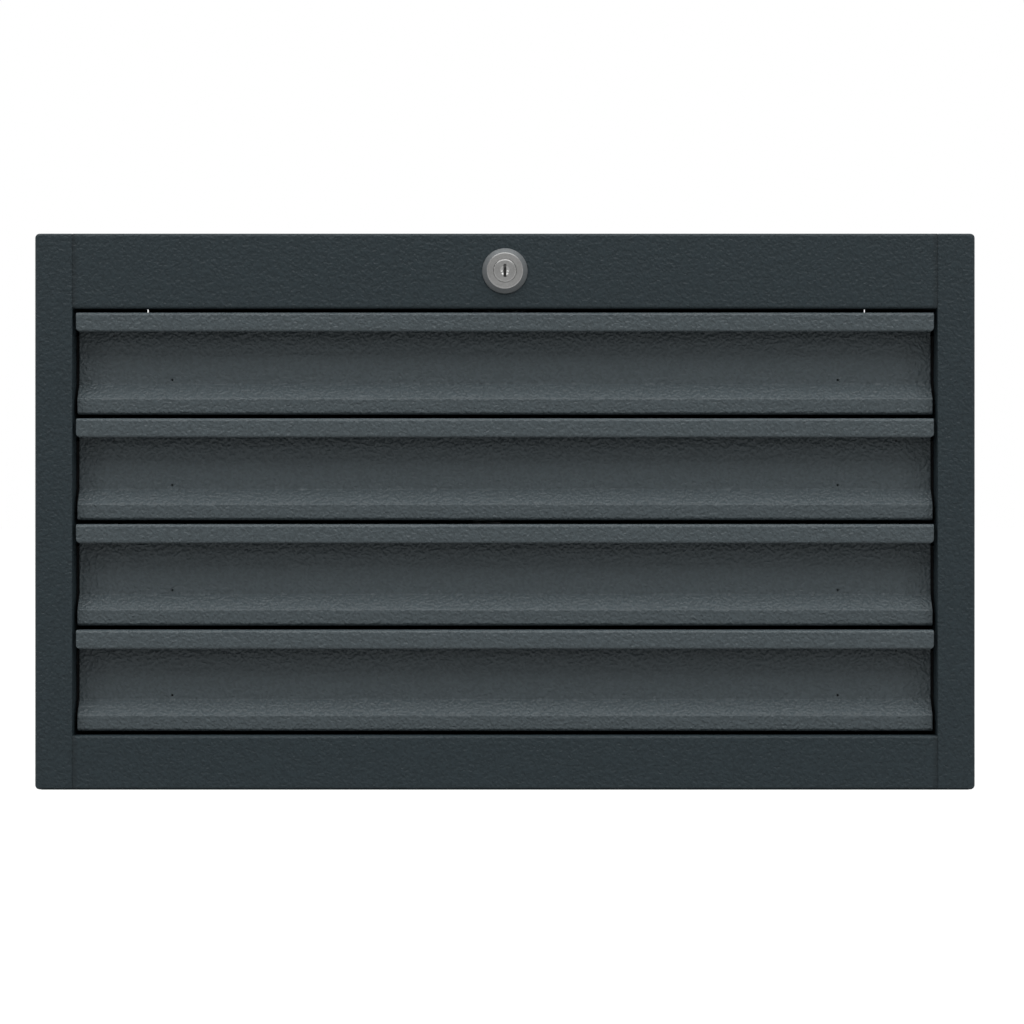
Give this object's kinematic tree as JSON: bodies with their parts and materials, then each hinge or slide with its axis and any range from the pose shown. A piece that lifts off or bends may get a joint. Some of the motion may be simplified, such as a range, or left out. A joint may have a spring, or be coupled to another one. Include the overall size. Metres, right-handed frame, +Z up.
{
  "type": "tool drawer cabinet",
  "caption": "Low steel tool drawer cabinet with full-width folded handle lips, telescopic ball slides and a central key lock.",
  "frame": {"origin": "centre of the base, on the surface that the cabinet stands on", "axes": "+Z up, front faces -Y, +X to the right seen from the front"},
  "size_m": [0.6, 0.4551, 0.355],
  "materials": {
    "case_paint": "dark grey textured powder coat",
    "drawer_paint": "mid grey textured powder coat",
    "zinc": "bright zinc plate",
    "nickel": "satin nickel plate",
    "black_plastic": "black moulded plastic"
  },
  "bodies": {
    "case": {"left_side_panel": "case_paint", "right_side_panel": "case_paint", "top_panel": "case_paint", "bottom_panel": "case_paint", "back_panel": "case_paint", "back_rivets": "zinc", "left_slide_posts": "case_paint", "right_slide_posts": "case_paint", "rail_screws": "zinc", "rail_buffers": "black_plastic", "lock_housing": "nickel", "lock_nut": "nickel", "shaft_bracket": "zinc", "lock_bar_studs": "zinc", "drawer_1_outer_rails": "zinc", "drawer_2_outer_rails": "zinc", "drawer_3_outer_rails": "zinc", "drawer_4_outer_rails": "zinc"},
    "drawer_1": {"drawer_1_front": "drawer_paint", "drawer_1_tray": "drawer_paint", "drawer_1_hook": "zinc", "drawer_1_rivets": "zinc", "drawer_1_inner_rails": "zinc"},
    "drawer_2": {"drawer_2_front": "drawer_paint", "drawer_2_tray": "drawer_paint", "drawer_2_hook": "zinc", "drawer_2_rivets": "zinc", "drawer_2_inner_rails": "zinc"},
    "drawer_3": {"drawer_3_front": "drawer_paint", "drawer_3_tray": "drawer_paint", "drawer_3_hook": "zinc", "drawer_3_rivets": "zinc", "drawer_3_inner_rails": "zinc"},
    "drawer_4": {"drawer_4_front": "drawer_paint", "drawer_4_tray": "drawer_paint", "drawer_4_hook": "zinc", "drawer_4_rivets": "zinc", "drawer_4_inner_rails": "zinc"},
    "drawer_1_middle_rails": {"drawer_1_middle_rails": "zinc"},
    "drawer_1_outer_cages": {"drawer_1_outer_cages": "zinc"},
    "drawer_1_inner_cages": {"drawer_1_inner_cages": "zinc"},
    "drawer_2_middle_rails": {"drawer_2_middle_rails": "zinc"},
    "drawer_2_outer_cages": {"drawer_2_outer_cages": "zinc"},
    "drawer_2_inner_cages": {"drawer_2_inner_cages": "zinc"},
    "drawer_3_middle_rails": {"drawer_3_middle_rails": "zinc"},
    "drawer_3_outer_cages": {"drawer_3_outer_cages": "zinc"},
    "drawer_3_inner_cages": {"drawer_3_inner_cages": "zinc"},
    "drawer_4_middle_rails": {"drawer_4_middle_rails": "zinc"},
    "drawer_4_outer_cages": {"drawer_4_outer_cages": "zinc"},
    "drawer_4_inner_cages": {"drawer_4_inner_cages": "zinc"},
    "lock": {"lock_plug": "nickel", "lock_shaft": "zinc", "lock_crank": "zinc"},
    "lock_bar": {"lock_bar": "zinc", "lock_bar_pins": "zinc"}
  },
  "joints": [
    {"name": "drawer_1_slide", "type": "slide", "parent": "case", "child": "drawer_1", "axis": [0, -1, 0], "range_m": [0, 0.38]},
    {"name": "drawer_2_slide", "type": "slide", "parent": "case", "child": "drawer_2", "axis": [0, -1, 0], "range_m": [0, 0.38]},
    {"name": "drawer_3_slide", "type": "slide", "parent": "case", "child": "drawer_3", "axis": [0, -1, 0], "range_m": [0, 0.38]},
    {"name": "drawer_4_slide", "type": "slide", "parent": "case", "child": "drawer_4", "axis": [0, -1, 0], "range_m": [0, 0.38]},
    {"name": "drawer_1_middle_rails_slide", "type": "slide", "parent": "case", "child": "drawer_1_middle_rails", "axis": [0, -1, 0], "range_m": [0, 0.19]},
    {"name": "drawer_1_outer_cages_slide", "type": "slide", "parent": "case", "child": "drawer_1_outer_cages", "axis": [0, -1, 0], "range_m": [0, 0.095]},
    {"name": "drawer_1_inner_cages_slide", "type": "slide", "parent": "case", "child": "drawer_1_inner_cages", "axis": [0, -1, 0], "range_m": [0, 0.285]},
    {"name": "drawer_2_middle_rails_slide", "type": "slide", "parent": "case", "child": "drawer_2_middle_rails", "axis": [0, -1, 0], "range_m": [0, 0.19]},
    {"name": "drawer_2_outer_cages_slide", "type": "slide", "parent": "case", "child": "drawer_2_outer_cages", "axis": [0, -1, 0], "range_m": [0, 0.095]},
    {"name": "drawer_2_inner_cages_slide", "type": "slide", "parent": "case", "child": "drawer_2_inner_cages", "axis": [0, -1, 0], "range_m": [0, 0.285]},
    {"name": "drawer_3_middle_rails_slide", "type": "slide", "parent": "case", "child": "drawer_3_middle_rails", "axis": [0, -1, 0], "range_m": [0, 0.19]},
    {"name": "drawer_3_outer_cages_slide", "type": "slide", "parent": "case", "child": "drawer_3_outer_cages", "axis": [0, -1, 0], "range_m": [0, 0.095]},
    {"name": "drawer_3_inner_cages_slide", "type": "slide", "parent": "case", "child": "drawer_3_inner_cages", "axis": [0, -1, 0], "range_m": [0, 0.285]},
    {"name": "drawer_4_middle_rails_slide", "type": "slide", "parent": "case", "child": "drawer_4_middle_rails", "axis": [0, -1, 0], "range_m": [0, 0.19]},
    {"name": "drawer_4_outer_cages_slide", "type": "slide", "parent": "case", "child": "drawer_4_outer_cages", "axis": [0, -1, 0], "range_m": [0, 0.095]},
    {"name": "drawer_4_inner_cages_slide", "type": "slide", "parent": "case", "child": "drawer_4_inner_cages", "axis": [0, -1, 0], "range_m": [0, 0.285]},
    {"name": "lock_turn", "type": "hinge", "parent": "case", "child": "lock", "pos_m": [0, -0.225, 0.331], "axis": [0, 1, 0], "range_deg": [0, 90]},
    {"name": "lock_bar_lift", "type": "slide", "parent": "case", "child": "lock_bar", "axis": [0, 0, 1], "range_m": [0, 0.01131]}
  ],
  "couplings": [
    {"joint": "drawer_1_middle_rails_slide", "follows": "drawer_1_slide", "ratio": 0.5},
    {"joint": "drawer_1_outer_cages_slide", "follows": "drawer_1_slide", "ratio": 0.25},
    {"joint": "drawer_1_inner_cages_slide", "follows": "drawer_1_slide", "ratio": 0.75},
    {"joint": "drawer_2_middle_rails_slide", "follows": "drawer_2_slide", "ratio": 0.5},
    {"joint": "drawer_2_outer_cages_slide", "follows": "drawer_2_slide", "ratio": 0.25},
    {"joint": "drawer_2_inner_cages_slide", "follows": "drawer_2_slide", "ratio": 0.75},
    {"joint": "drawer_3_middle_rails_slide", "follows": "drawer_3_slide", "ratio": 0.5},
    {"joint": "drawer_3_outer_cages_slide", "follows": "drawer_3_slide", "ratio": 0.25},
    {"joint": "drawer_3_inner_cages_slide", "follows": "drawer_3_slide", "ratio": 0.75},
    {"joint": "drawer_4_middle_rails_slide", "follows": "drawer_4_slide", "ratio": 0.5},
    {"joint": "drawer_4_outer_cages_slide", "follows": "drawer_4_slide", "ratio": 0.25},
    {"joint": "drawer_4_inner_cages_slide", "follows": "drawer_4_slide", "ratio": 0.75},
    {"joint": "lock_turn", "follows": "lock_bar_lift", "rad_per_m": 138.83}
  ]
}
